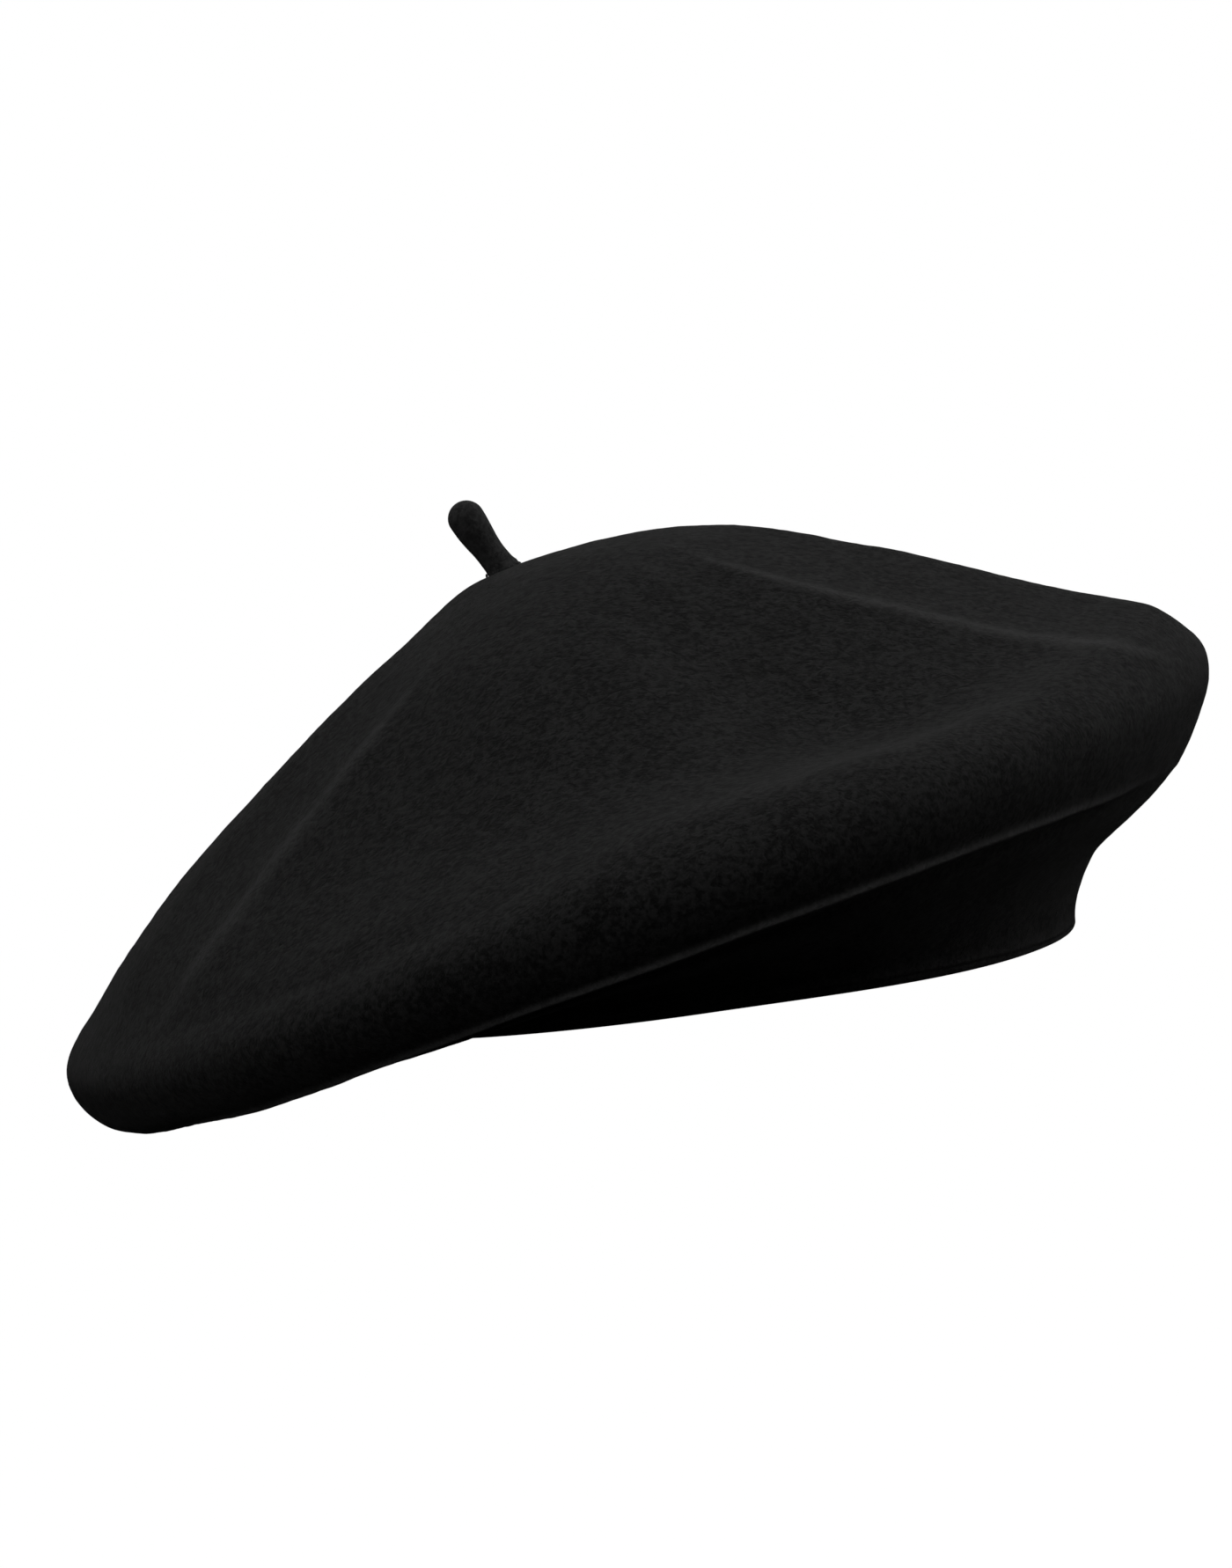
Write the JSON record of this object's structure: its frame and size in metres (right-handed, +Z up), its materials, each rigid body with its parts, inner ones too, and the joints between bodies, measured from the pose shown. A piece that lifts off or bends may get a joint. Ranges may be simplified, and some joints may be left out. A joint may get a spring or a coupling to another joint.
{
  "type": "beret",
  "caption": "Soft lined felt beret with a stubby stem and an inner sweatband, shaped as worn: wide crown pushed up by the head and tilted low to one side.",
  "frame": {"origin": "centre of the head opening, in the plane of the hem's lower edge", "axes": "+Z up out of the crown along the wearer's head, +Y towards the back of the head, -Y the wearer's forehead, +X the wearer's left, the side where the crown stands high; the crown hangs low at -X"},
  "size_m": [0.2532, 0.2688, 0.1236],
  "materials": {
    "felt": "matt napped wool felt, neutral black",
    "satin": "satin-weave lining, black with a soft sheen",
    "leather": "thin smooth sheepskin, near-black, semi-matt",
    "thread": "black sewing thread, semi-matt",
    "label": "off-white woven tape, blank"
  },
  "bodies": {
    "hat": {"felt_body": "felt", "stem_root_stitching": "thread", "stem_tack": "thread", "lining_tip": "satin", "lining_side": "satin", "lining_seam_stitching": "thread", "sweatband": "leather", "sweatband_back_join": "leather", "sweatband_stitching": "thread", "size_label": "label", "care_label_stitching": "thread"},
    "stem": {"stem": "felt"},
    "care_label": {"care_label": "label"}
  },
  "joints": [
    {"name": "stem_flex", "type": "hinge", "parent": "hat", "child": "stem", "pos_m": [-0.02985, 0.003, 0.09595], "axis": [0, 1, 0], "range_deg": [-45, 75], "stiffness_Nm_per_rad": 0.003},
    {"name": "care_label_flap", "type": "hinge", "parent": "hat", "child": "care_label", "pos_m": [0.03257, 0.07981, 0.0235], "axis": [-0.8673, 0.4978, 0], "range_deg": [0, 110]}
  ]
}
